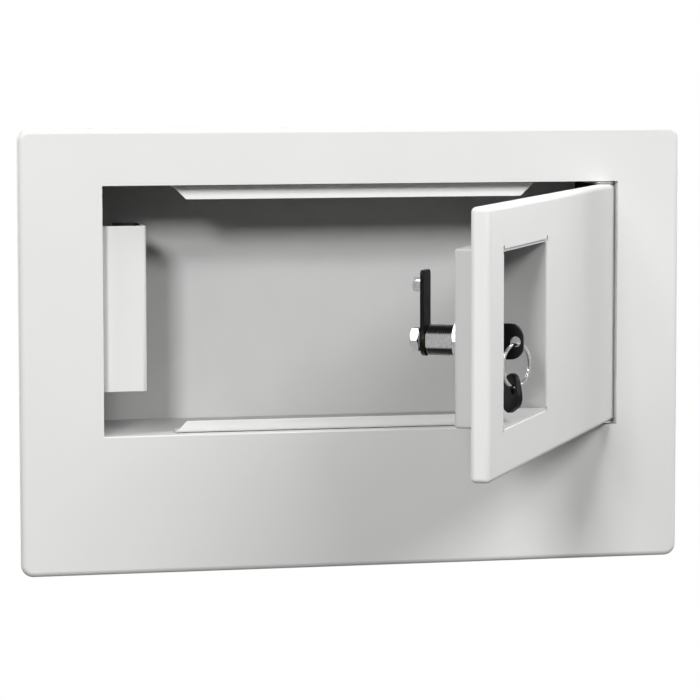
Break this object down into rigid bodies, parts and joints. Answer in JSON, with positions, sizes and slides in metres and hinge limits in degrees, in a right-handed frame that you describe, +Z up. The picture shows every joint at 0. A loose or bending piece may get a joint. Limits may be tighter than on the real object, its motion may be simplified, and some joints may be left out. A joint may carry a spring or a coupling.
{
  "type": "wall safe",
  "caption": "Recessed sheet-steel wall safe with a wide face plate, a side-hinged door with a recessed cam lock, and keys on a ring.",
  "frame": {"origin": "centre of the body's back outer face", "axes": "+X right as seen from the room, +Y into the wall, +Z up"},
  "size_m": [0.457, 0.4078, 0.299],
  "materials": {
    "paint": "light grey satin baked enamel",
    "plating": "bright nickel plating",
    "bare_steel": "zinc-plated steel",
    "brass": "machined brass",
    "plastic": "black moulded plastic"
  },
  "bodies": {
    "body": {"face_plate": "paint", "tub_wrap": "paint", "tub_back": "paint", "stop_lip_top": "paint", "stop_lip_bottom": "paint", "strike_channel": "paint", "hinge_leaf_upper": "bare_steel", "hinge_leaf_lower": "bare_steel", "hinge_rivet_1": "bare_steel", "hinge_rivet_2": "bare_steel", "hinge_rivet_3": "bare_steel", "hinge_rivet_4": "bare_steel"},
    "door": {"door_skin": "paint", "door_stiffener": "paint", "lock_pocket": "paint", "hinge_block_upper": "bare_steel", "hinge_block_lower": "bare_steel", "hinge_pin_upper": "bare_steel", "hinge_pin_lower": "bare_steel", "lock_body": "plating", "lock_washer": "plating", "lock_nut": "plating"},
    "lock_rotor": {"lock_plug": "brass", "wafer_1": "brass", "wafer_2": "brass", "wafer_3": "brass", "wafer_4": "brass", "wafer_5": "brass", "cam": "plating", "cam_boss": "plating", "cam_washer": "plating", "cam_nut": "plating"},
    "key_in_lock": {"key_blade": "plating", "key_head": "plastic"},
    "ring": {"key_ring": "bare_steel"},
    "hanging_key": {"spare_key_blade": "plating", "spare_key_head": "plastic"}
  },
  "joints": [
    {"name": "door_hinge", "type": "hinge", "parent": "body", "child": "door", "pos_m": [0.1718, -0.1013, 0], "axis": [0, 0, 1], "range_deg": [-61, 39]},
    {"name": "lock_turn", "type": "hinge", "parent": "door", "child": "lock_rotor", "pos_m": [0.01656, -0.33516, -0.0031], "axis": [0.8746, -0.4848, 0], "range_deg": [0, 90]},
    {"name": "key_pull", "type": "slide", "parent": "lock_rotor", "child": "key_in_lock", "axis": [0.8746, -0.4848, 0], "range_m": [0, 0.02]},
    {"name": "ring_turn", "type": "hinge", "parent": "key_in_lock", "child": "ring", "pos_m": [0.03982, -0.34806, -0.01775], "axis": [0.5878, -0.809, 0], "range_deg": [0, 40]},
    {"name": "spare_swing", "type": "hinge", "parent": "ring", "child": "hanging_key", "pos_m": [0.03982, -0.34806, -0.03233], "axis": [0.9877, 0.1564, 0], "range_deg": [0, 30]}
  ]
}
